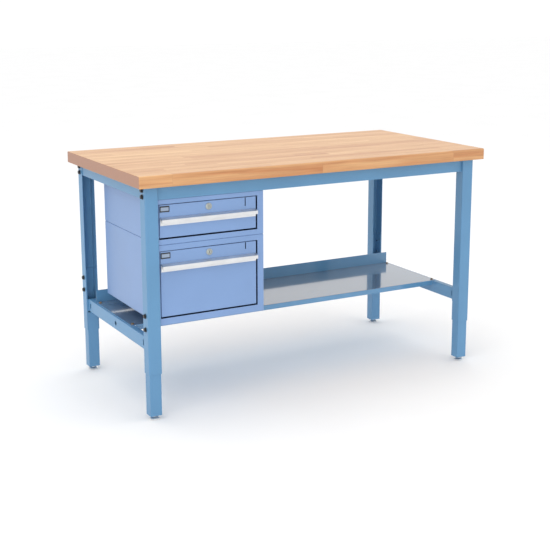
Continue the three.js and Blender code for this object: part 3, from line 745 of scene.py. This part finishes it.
def label_paint():
    return coated("label_card", LABEL_BLUE, roughness=0.5, dust=0.0, peel_depth=0.000004)


def black_oxide_and_keyway_shade():
    return coated("black_oxide_and_keyway_shade", OXIDE_AND_KEYWAY_BLACK, roughness=0.38, dust=0.02, peel_scale=900.0)


def pull_metal():
    return bare_metal("drawn_aluminium", DRAWN_ALUMINIUM, roughness=0.36)


def zinc():
    return bare_metal("bright_zinc", BRIGHT_ZINC, roughness=0.28, stretch=(900.0, 12.0, 900.0))


def yellow_zinc():
    return bare_metal("yellow_zinc", YELLOW_ZINC, roughness=0.45, stretch=(300.0, 300.0, 300.0))


def lock_metal():
    return bare_metal("lock_nickel", LOCK_NICKEL, roughness=0.34, stretch=(500.0, 500.0, 500.0))


def glide_nickel():
    return bare_metal(
        "glide_nickel",
        GLIDE_NICKEL,
        roughness=0.30,
        stretch=(600.0, 600.0, 60.0),
        metallic=0.85,
    )


def floor_paper():
    """Matt white paper."""
    material, tree, shader = blank_material("floor_paper")
    tone = spread(tree, noise(tree, object_place(tree), PAPER_SCALE), 0.3, 0.7, 0.93, 0.95)
    wire(tree, mix_colour(tree, tone, BLACK, WHITE), shader.inputs["Base Color"])
    shader.inputs["Roughness"].default_value = 0.9
    shader.inputs["Specular IOR Level"].default_value = 0.1
    return material


# ---------------------------------------------------------------- mesh tools


def cad_copy(node):
    """The mesh of a CAD node as a welded bmesh with its flat faces made whole."""
    bm = bmesh.new()
    bm.from_mesh(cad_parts[node].data)
    bmesh.ops.remove_doubles(bm, verts=bm.verts, dist=WELD_GAP)
    angle = math.radians(FLAT_ANGLE)
    bmesh.ops.dissolve_limit(bm, angle_limit=angle, verts=bm.verts, edges=bm.edges)
    return bm


def middle_of(node):
    low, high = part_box(node)
    return (Vector(low) + Vector(high)) / 2


def distinct(items):
    """Each item once, in the order met."""
    return list(dict.fromkeys(items))


def rounded(bm, edges, radius, segments):
    bmesh.ops.bevel(
        bm,
        geom=edges,
        offset=radius,
        offset_type="OFFSET",
        affect="EDGES",
        segments=segments,
        profile=0.5,
        material=-1,
    )


def mean_width(face, edge):
    return face.calc_area() / max(edge.calc_length(), SHORTEST_EDGE)


def takes_radius(edge, radius):
    """Whether an edge is an outside corner between faces wide enough for the radius."""
    if len(edge.link_faces) != 2 or not edge.is_convex:
        return False
    if edge.calc_face_angle() < math.radians(CORNER_ANGLE) or edge.calc_length() < EDGE_REACH * radius:
        return False
    return all(mean_width(face, edge) > FACE_REACH * radius for face in edge.link_faces)


def soften(bm, radius):
    """Rounds the outside corners that can take the radius."""
    rounded(bm, [edge for edge in bm.edges if takes_radius(edge, radius)], radius, FOLD_STEPS)


def block(bm, low, high, radius=0.0):
    """A box between two corners, its edges rounded."""
    low = Vector(low)
    high = Vector(high)
    made = bmesh.ops.create_cube(bm, size=1.0)["verts"]
    bmesh.ops.scale(bm, vec=high - low, verts=made)
    bmesh.ops.translate(bm, vec=(low + high) / 2, verts=made)
    if radius > 0:
        rounded(bm, distinct(edge for vert in made for edge in vert.link_edges), radius, CHAMFER_STEPS)


def axis_matrix(axis, centre):
    """Takes +Z onto the axis, at the centre."""
    turn = Vector(UP).rotation_difference(Vector(axis)).to_matrix().to_4x4()
    return Matrix.Translation(Vector(centre)) @ turn


def set_in_place(bm, verts, axis, centre):
    """Moves a shape built along +Z onto its own axis, and turns its faces outwards."""
    bmesh.ops.transform(bm, matrix=axis_matrix(axis, centre), verts=verts)
    bmesh.ops.recalc_face_normals(bm, faces=distinct(face for vert in verts for face in vert.link_faces))


def turned(bm, profile, axis, centre, steps=None):
    """Spins a profile of (radius, height) pairs about an axis."""
    steps = steps or settings().turned_steps
    before = set(bm.verts)
    verts = [bm.verts.new((radius, 0.0, height)) for radius, height in profile]
    edges = [bm.edges.new(pair) for pair in zip(verts, verts[1:])]
    bmesh.ops.spin(
        bm,
        geom=verts + edges,
        cent=(0, 0, 0),
        axis=UP,
        angle=math.tau,
        steps=steps,
        use_merge=True,
    )
    made = [vert for vert in bm.verts if vert not in before]
    bmesh.ops.remove_doubles(bm, verts=made, dist=TURNED_GAP)
    made = [vert for vert in bm.verts if vert not in before]
    set_in_place(bm, made, axis, centre)


def hexagon(bm, radius, low, high, axis, centre, chamfer, turn):
    """A hexagonal prism with its far edge broken."""
    before = set(bm.verts)
    bmesh.ops.create_circle(bm, cap_ends=True, segments=6, radius=radius)
    base = [vert for vert in bm.verts if vert not in before]
    faces = distinct(face for vert in base for face in vert.link_faces)
    raised = bmesh.ops.extrude_face_region(bm, geom=faces, use_keep_orig=True)["geom"]
    top = [item for item in raised if isinstance(item, bmesh.types.BMVert)]
    bmesh.ops.translate(bm, vec=(0, 0, high - low), verts=top)
    rim = [edge for vert in top for edge in vert.link_edges if edge.other_vert(vert) in top]
    rounded(bm, distinct(rim), chamfer, CHAMFER_STEPS)
    made = [vert for vert in bm.verts if vert not in before]
    bmesh.ops.rotate(bm, cent=(0, 0, 0), matrix=Matrix.Rotation(turn, 3, "Z"), verts=made)
    bmesh.ops.translate(bm, vec=(0, 0, low), verts=made)
    set_in_place(bm, made, axis, centre)


def lifted(profile, height):
    """A turned profile, moved along its axis."""
    return [(radius, height + rise) for radius, rise in profile]


def thread(low, high, root, crest, pitch):
    """The zigzag profile of a threaded length, starting on its axis."""
    profile = [(0.0, low)]
    for index in range(int((high - low) / pitch)):
        height = low + index * pitch
        profile += [(root, height), (crest, height + pitch / 2)]
    return profile


def screw_head(bm, place, axis, radius, height):
    """A domed head with a round driver recess, seated on a face."""
    dome = [(radius * out, height * rise) for out, rise in SCREW_DOME]
    rim = [(radius, SCREW_SEAT), (radius, -SCREW_SEAT), (0.0, -SCREW_SEAT)]
    turned(bm, dome + rim, axis, place, SCREW_STEPS)


def hex_head(bm, place, axis, turn):
    """A hexagon head on a thin washer, seated on a face."""
    turned(bm, HEX_WASHER, axis, place, HEX_WASHER_STEPS)
    hexagon(bm, SMALL_HEX_RADIUS, SMALL_HEX_LOW, SMALL_HEX_HIGH, axis, place, HEX_CHAMFER, turn)


def piece(name, bm, material, body, replaced=(), sharp=FOLD_SHARPNESS):
    """Puts a finished bmesh in the scene as a piece that rides on a body."""
    mesh = bpy.data.meshes.new(name)
    for face in bm.faces:
        face.smooth = True
    for edge in bm.edges:
        edge.smooth = edge.calc_face_angle(math.pi) < math.radians(sharp)
    bm.to_mesh(mesh)
    bm.free()
    mesh.materials.append(material)
    made = bpy.data.objects.new(name, mesh)
    bpy.context.scene.collection.objects.link(made)
    weighted = made.modifiers.new("face_weight", "WEIGHTED_NORMAL")
    weighted.keep_sharp = True
    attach(made, body)
    if replaced:
        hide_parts(*replaced)


def plain_piece(node, material, body):
    """A CAD sheet piece that keeps its edges."""
    piece(node + "_finished", cad_copy(node), material, body, (node,), FRAME_SHARPNESS)


def folded_piece(node, material, body, radius):
    """A CAD sheet piece with its outside folds rounded."""
    bm = cad_copy(node)
    soften(bm, radius)
    piece(node + "_finished", bm, material, body, (node,))


# ---------------------------------------------------------------- operators


class BuildOperator(Operator):
    """Shared base of the build steps."""

    bl_options = {"REGISTER", "UNDO"}

    def execute(self, context):
        self.build()
        return {"FINISHED"}


class WORKBENCH_OT_worktop(BuildOperator):
    """Laminated maple worktop with eased edges"""

    bl_idname = "workbench.worktop"
    bl_label = "Worktop"

    def build(self):
        low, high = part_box("worktop")
        bm = bmesh.new()
        block(bm, low, high)
        along = [edge for edge in bm.edges if abs(edge.verts[0].co.x - edge.verts[1].co.x) > LONG_EDGE]
        upper = [edge for edge in along if edge.verts[0].co.z > high[2] - NEAR_TOP]
        rounded(bm, upper, settings().worktop_round, WORKTOP_STEPS)
        corner = math.radians(WORKTOP_CORNER)
        rest = [edge for edge in bm.edges if edge.calc_face_angle(0.0) > corner]
        rounded(bm, rest, SHORT_EDGE_ROUND, FOLD_STEPS)
        piece("worktop_block", bm, maple(), "bench", ("worktop",))


class WORKBENCH_OT_frame(BuildOperator):
    """Folded steel frame: upper legs, rails, aprons, hangers and braces"""

    bl_idname = "workbench.frame"
    bl_label = "Frame"

    def build(self):
        legs = ["upper_leg_" + corner for corner in CORNERS]
        aprons = ["front_apron", "rear_apron"]
        rails = ["left_side_rail", "right_side_rail"]
        hangers = ["left_hanger", "right_hanger"]
        braces = ["left_brace", "right_brace"]
        for node in legs + aprons + rails + hangers + braces:
            plain_piece(node, frame_paint(), "bench")


class WORKBENCH_OT_lower_legs(BuildOperator):
    """Telescoping lower legs"""

    bl_idname = "workbench.lower_legs"
    bl_label = "Lower legs"

    def build(self):
        for corner in CORNERS:
            plain_piece("lower_leg_" + corner, frame_paint(), "leg_" + corner)


class WORKBENCH_OT_feet(BuildOperator):
    """Levelling glides with threaded studs"""

    bl_idname = "workbench.feet"
    bl_label = "Levelling feet"

    def build(self):
        for corner in CORNERS:
            node = "foot_" + corner
            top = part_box(node)[1][2]
            middle = middle_of(node)
            centre = (middle.x, middle.y, 0.0)
            bm = bmesh.new()
            turned(bm, FOOT_PAD, UP, centre)
            hexagon(bm, FOOT_HEX_RADIUS, FOOT_HEX_LOW, FOOT_HEX_TOP, UP, centre, HEX_CHAMFER, FOOT_HEX_TURN)
            stud = thread(FOOT_HEX_TOP, top - FOOT_THREAD_END, *FOOT_THREAD)
            stud += [(FOOT_THREAD[0], top - FOOT_TIP_LENGTH), (FOOT_TIP_RADIUS, top), (0.0, top)]
            turned(bm, stud, UP, centre, THREAD_STEPS)
            body = "glide_" + corner
            piece(body + "_finished", bm, glide_nickel(), body, (node,))


class WORKBENCH_OT_leg_bolts(BuildOperator):
    """Black flange bolts with their nuts"""

    bl_idname = "workbench.leg_bolts"
    bl_label = "Leg bolts"

    def build(self):
        for corner in CORNERS:
            for index, place in enumerate(BOLT_PLACES):
                self.bolt(f"{corner}_{place}", BOLT_FIRST_TURN + BOLT_TURN_STEP * index)

    def bolt(self, place, turn):
        node = "bolt_" + place
        low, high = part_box(node)
        middle = middle_of(node)
        axis = (math.copysign(1.0, middle.x), 0, 0)
        centre = (0.0, middle.y, middle.z)
        tip = max(abs(low[0]), abs(high[0]))
        back = min(abs(low[0]), abs(high[0]))
        seat = tip - BOLT_HEAD_DEPTH
        bm = bmesh.new()
        turned(bm, lifted(BOLT_WASHER, seat), axis, centre)
        head = (seat + BOLT_HEX_RISE, tip - BOLT_HEX_DROP)
        hexagon(bm, BOLT_HEX_RADIUS, *head, axis, centre, BOLT_HEX_CHAMFER, turn)
        turned(bm, lifted(BOLT_DOME, tip), axis, centre, THREAD_STEPS)
        end = seat + BOLT_SHANK_OVERLAP
        shank = thread(back, seat, *BOLT_THREAD) + [(BOLT_THREAD[1], end), (0.0, end)]
        turned(bm, shank, axis, centre, THREAD_STEPS)
        piece(node + "_finished", bm, black_oxide_and_keyway_shade(), "bench", (node,))
        bm = bmesh.new()
        nut = (back + NUT_LOW, back + NUT_HIGH)
        hexagon(bm, BOLT_HEX_RADIUS, *nut, axis, centre, BOLT_HEX_CHAMFER, turn + NUT_TURN)
        piece("weld_nut_" + place, bm, frame_paint(), "bench")


class WORKBENCH_OT_shelf(BuildOperator):
    """Gloss-coated lower shelf"""

    bl_idname = "workbench.shelf"
    bl_label = "Lower shelf"

    def build(self):
        plain_piece("lower_shelf", shelf_paint(), "bench")


class WORKBENCH_OT_cabinets(BuildOperator):
    """Drawer cabinets"""

    bl_idname = "workbench.cabinets"
    bl_label = "Cabinets"

    def build(self):
        radius = settings().seam_round
        for drawer in DRAWERS:
            folded_piece(drawer + "_cabinet", cabinet_paint(), "bench", radius)


class WORKBENCH_OT_drawers(BuildOperator):
    """Drawer boxes and fronts"""

    bl_idname = "workbench.drawers"
    bl_label = "Drawers"

    def build(self):
        radius = settings().fold_round
        for drawer in DRAWERS:
            body = drawer + "_drawer"
            folded_piece(body + "_box", inside_paint(), body, BOX_FOLD_ROUND)
            folded_piece(body + "_front", cabinet_paint(), body, radius)


class WORKBENCH_OT_pulls(BuildOperator):
    """Full-width aluminium pulls"""

    bl_idname = "workbench.pulls"
    bl_label = "Pulls"

    def build(self):
        for drawer in DRAWERS:
            body = drawer + "_drawer"
            folded_piece(drawer + "_pull", pull_metal(), body, PULL_ROUND)


class WORKBENCH_OT_locks(BuildOperator):
    """Cylinder locks with their cams"""

    bl_idname = "workbench.locks"
    bl_label = "Locks"

    def build(self):
        for drawer in DRAWERS:
            self.lock(drawer)

    def lock(self, drawer):
        node = drawer + "_lock"
        low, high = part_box(node)
        centre_x = low[0] + (high[2] - low[2]) / 2
        centre_z = (low[2] + high[2]) / 2
        centre = (centre_x, 0.0, centre_z)
        face = low[1]
        back = high[1]
        bezel_back = LOCK_BARREL_TOP - face
        barrel = [(0.0, -back), (LOCK_BARREL, -back), (LOCK_BARREL, bezel_back), (0.0, bezel_back)]
        bm = bmesh.new()
        for profile in (lifted(LOCK_BEZEL, -face), lifted(LOCK_PLUG, -face), barrel):
            turned(bm, profile, FORWARD, centre, LOCK_STEPS)
        cam_low = (centre_x - LOCK_CAM_HALF, back - LOCK_CAM_THICKNESS, centre_z - LOCK_CAM_HALF)
        block(bm, cam_low, (high[0], back, centre_z + LOCK_CAM_HALF), LOCK_CAM_ROUND)
        piece(node + "_finished", bm, lock_metal(), node, (node,))
        # The keyway is a thin black block on the plug face: painted shade standing for the dark slot.
        bm = bmesh.new()
        block(
            bm,
            (centre_x - KEYWAY_HALF_WIDTH, face + KEYWAY_FROM, centre_z - KEYWAY_HALF_HEIGHT),
            (centre_x + KEYWAY_HALF_WIDTH, face + KEYWAY_TO, centre_z + KEYWAY_HALF_HEIGHT),
            KEYWAY_ROUND,
        )
        piece(drawer + "_keyway", bm, black_oxide_and_keyway_shade(), node)


class WORKBENCH_OT_label_plates(BuildOperator):
    """Blank label plates on the drawer fronts"""

    bl_idname = "workbench.label_plates"
    bl_label = "Label plates"

    def build(self):
        for drawer in DRAWERS:
            self.plate(drawer, drawer + "_drawer")

    def plate(self, drawer, body):
        front_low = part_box(drawer + "_drawer_front")[0]
        lock_low, lock_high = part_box(drawer + "_lock")
        middle = (lock_low[2] + lock_high[2]) / 2 + LABEL_RISE
        left = front_low[0] + LABEL_INSET
        face = front_low[1]
        bm = bmesh.new()
        block(
            bm,
            (left, face - LABEL_FRAME_DEPTH, middle - LABEL_HALF_HEIGHT),
            (left + LABEL_WIDTH, face, middle + LABEL_HALF_HEIGHT),
            LABEL_FRAME_ROUND,
        )
        piece(drawer + "_label_frame", bm, black_oxide_and_keyway_shade(), body)
        bm = bmesh.new()
        block(
            bm,
            (left + LABEL_RIM, face - LABEL_CARD_FRONT, middle - LABEL_CARD_HALF_HEIGHT),
            (left + LABEL_WIDTH - LABEL_RIM, face - LABEL_CARD_BACK, middle + LABEL_CARD_HALF_HEIGHT),
            LABEL_CARD_ROUND,
        )
        piece(drawer + "_label_plate", bm, label_paint(), body)


class WORKBENCH_OT_slides(BuildOperator):
    """Drawer slides"""

    bl_idname = "workbench.slides"
    bl_label = "Slides"

    def build(self):
        for drawer in DRAWERS:
            bodies = {
                "outer": "bench",
                "middle": drawer + "_slide_middles",
                "inner": drawer + "_drawer",
            }
            for side in SIDES:
                for member, body in bodies.items():
                    plain_piece(f"{drawer}_slide_{side}_{member}", zinc(), body)


class WORKBENCH_OT_frame_screws(BuildOperator):
    """Bolts of the aprons and shelf, and the screws up into the worktop"""

    bl_idname = "workbench.frame_screws"
    bl_label = "Frame screws"

    def build(self):
        self.apron_bolts()
        self.worktop_screws()
        self.shelf_bolts()

    def apron_bolts(self):
        bm = bmesh.new()
        for name in ("front_apron", "rear_apron"):
            low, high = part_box(name)
            depth = (low[1] + high[1]) / 2 + math.copysign(APRON_BOLT_SETBACK, low[1])
            for end in (-1, 1):
                across = end * (high[0] - RAIL_SHEET)
                for index, height in enumerate((low[2] + APRON_BOLT_INSET, high[2] - APRON_BOLT_INSET)):
                    hex_head(bm, (across, depth, height), (-end, 0, 0), APRON_BOLT_TURN + index)
        piece("apron_bolts", bm, black_oxide_and_keyway_shade(), "bench")

    def worktop_screws(self):
        bm = bmesh.new()
        for name in ("front_apron", "rear_apron"):
            low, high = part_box(name)
            for across in APRON_SCREW_PLACES:
                place = (across, (low[1] + high[1]) / 2, high[2] - RAIL_SHEET)
                screw_head(bm, place, DOWN, *WOOD_SCREW)
        for name in ("left_hanger", "right_hanger"):
            low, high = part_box(name)
            for share in HANGER_SCREW_SHARES:
                depth = low[1] + (high[1] - low[1]) * share
                place = ((low[0] + high[0]) / 2, depth, high[2] - RAIL_SHEET)
                screw_head(bm, place, DOWN, *WOOD_SCREW)
        piece("worktop_screws", bm, zinc(), "bench")

    def shelf_bolts(self):
        bm = bmesh.new()
        low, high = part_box("lower_shelf")
        surface = low[2] + SHELF_LIP
        for side in (-1, 1):
            across = side * (high[0] - SHELF_BOLT_SIDE)
            for index, depth in enumerate((low[1] + SHELF_BOLT_FRONT, high[1] - SHELF_BOLT_REAR)):
                hex_head(bm, (across, depth, surface), UP, SHELF_BOLT_TURN + index)
        piece("shelf_bolts", bm, yellow_zinc(), "bench")


class WORKBENCH_OT_drawer_screws(BuildOperator):
    """Rivets and screws of the drawer boxes and cabinets"""

    bl_idname = "workbench.drawer_screws"
    bl_label = "Drawer screws"

    def build(self):
        for drawer in DRAWERS:
            self.box_screws(drawer)
            self.box_rivets(drawer)
            self.cabinet_rivets(drawer)

    def box_screws(self, drawer):
        bm = bmesh.new()
        low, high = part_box(drawer + "_drawer_box")
        slide_low, slide_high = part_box(drawer + "_slide_left_inner")
        height = (slide_low[2] + slide_high[2]) / 2
        places = (low[1] + SLIDE_SCREW_FRONT, (low[1] + high[1]) / 2, high[1] - SLIDE_SCREW_REAR)
        for side, inward in ((low[0], 1), (high[0], -1)):
            for along in places:
                place = (side + inward * BOX_SHEET, along, height)
                screw_head(bm, place, (inward, 0, 0), *BOX_SCREW)
        for across in (low[0] + FRONT_SCREW_SIDE, high[0] - FRONT_SCREW_SIDE):
            for rise in (low[2] + FRONT_SCREW_RISE, high[2] - FRONT_SCREW_RISE):
                screw_head(bm, (across, low[1] + BOX_SHEET, rise), BACKWARD, *BOX_SCREW)
        piece(drawer + "_box_screws", bm, zinc(), drawer + "_drawer")

    def box_rivets(self, drawer):
        bm = bmesh.new()
        low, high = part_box(drawer + "_drawer_box")
        for side, outward in ((low[0], -1), (high[0], 1)):
            for along in (low[1] + RIVET_SIDE, high[1] - RIVET_SIDE):
                for height in (low[2] + RIVET_LOW, high[2] - RIVET_HIGH):
                    screw_head(bm, (side, along, height), (outward, 0, 0), *BOX_RIVET)
        piece(drawer + "_box_rivets", bm, inside_paint(), drawer + "_drawer")

    def cabinet_rivets(self, drawer):
        bm = bmesh.new()
        low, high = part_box(drawer + "_cabinet")
        places = (low[0] + CABINET_RIVET_SIDE, (low[0] + high[0]) / 2, high[0] - CABINET_RIVET_SIDE)
        for across in places:
            for height in (low[2] + CABINET_RIVET_RISE, high[2] - CABINET_RIVET_RISE):
                screw_head(bm, (across, high[1], height), BACKWARD, *CABINET_RIVET)
        piece(drawer + "_cabinet_rivets", bm, cabinet_paint(), "bench")


class WORKBENCH_OT_stage(BuildOperator):
    """Floor, studio light and camera"""

    bl_idname = "workbench.stage"
    bl_label = "Stage"

    def build(self):
        self.floor()
        self.world()
        for lamp in LAMPS:
            self.lamp(*lamp)
        self.camera()
        bpy.context.scene.view_settings.view_transform = "Standard"

    def floor(self):
        bm = bmesh.new()
        bmesh.ops.create_grid(bm, x_segments=1, y_segments=1, size=FLOOR_REACH)
        mesh = bpy.data.meshes.new("floor")
        bm.to_mesh(mesh)
        bm.free()
        mesh.materials.append(floor_paper())
        floor = bpy.data.objects.new("floor", mesh)
        bpy.context.scene.collection.objects.link(floor)
        floor.location.z = -FLOOR_DROP

    def world(self):
        world = bpy.data.worlds.new("studio")
        world.use_nodes = True
        backdrop = world.node_tree.nodes["Background"]
        backdrop.inputs["Color"].default_value = rgba(WHITE)
        backdrop.inputs["Strength"].default_value = STUDIO_STRENGTH
        bpy.context.scene.world = world

    def lamp(self, name, place, energy, size, tint):
        lamp = bpy.data.lights.new(name, "AREA")
        lamp.energy = energy
        lamp.size = size
        lamp.color = tint
        holder = bpy.data.objects.new(name, lamp)
        holder.location = place
        aim = Vector(LAMP_TARGET) - Vector(place)
        holder.rotation_euler = aim.to_track_quat("-Z", "Y").to_euler()
        bpy.context.scene.collection.objects.link(holder)

    def camera(self):
        camera = bpy.data.cameras.new("camera")
        camera.sensor_width = CAMERA_SENSOR
        camera.lens = CAMERA_LENS
        camera.shift_x, camera.shift_y = CAMERA_SHIFT
        camera.clip_end = CAMERA_REACH
        holder = bpy.data.objects.new("camera", camera)
        holder.location = CAMERA_PLACE
        holder.rotation_euler = (math.radians(CAMERA_PITCH), 0.0, math.radians(CAMERA_YAW))
        bpy.context.scene.collection.objects.link(holder)
        bpy.context.scene.camera = holder


BUILD_STEPS = (
    WORKBENCH_OT_worktop,
    WORKBENCH_OT_frame,
    WORKBENCH_OT_lower_legs,
    WORKBENCH_OT_feet,
    WORKBENCH_OT_leg_bolts,
    WORKBENCH_OT_shelf,
    WORKBENCH_OT_cabinets,
    WORKBENCH_OT_drawers,
    WORKBENCH_OT_pulls,
    WORKBENCH_OT_locks,
    WORKBENCH_OT_label_plates,
    WORKBENCH_OT_slides,
    WORKBENCH_OT_frame_screws,
    WORKBENCH_OT_drawer_screws,
    WORKBENCH_OT_stage,
)


class WORKBENCH_PT_panel(Panel):
    """Build steps and settings"""

    bl_label = "Workbench"
    bl_idname = "WORKBENCH_PT_panel"
    bl_space_type = "VIEW_3D"
    bl_region_type = "UI"
    bl_category = "Workbench"

    def draw(self, context):
        given = context.scene.workbench
        for name in given.bl_rna.properties.keys():
            if name not in {"rna_type", "name"}:
                self.layout.prop(given, name)
        for step in BUILD_STEPS:
            self.layout.operator(step.bl_idname)


CLASSES = (WorkbenchSettings, *BUILD_STEPS, WORKBENCH_PT_panel)


def register():
    for cls in CLASSES:
        bpy.utils.register_class(cls)
    bpy.types.Scene.workbench = PointerProperty(type=WorkbenchSettings)


def unregister():
    del bpy.types.Scene.workbench
    for cls in reversed(CLASSES):
        bpy.utils.unregister_class(cls)


def main():
    register()
    for step in BUILD_STEPS:
        group, name = step.bl_idname.split(".")
        getattr(getattr(bpy.ops, group), name)()


if __name__ == "__main__":
    main()
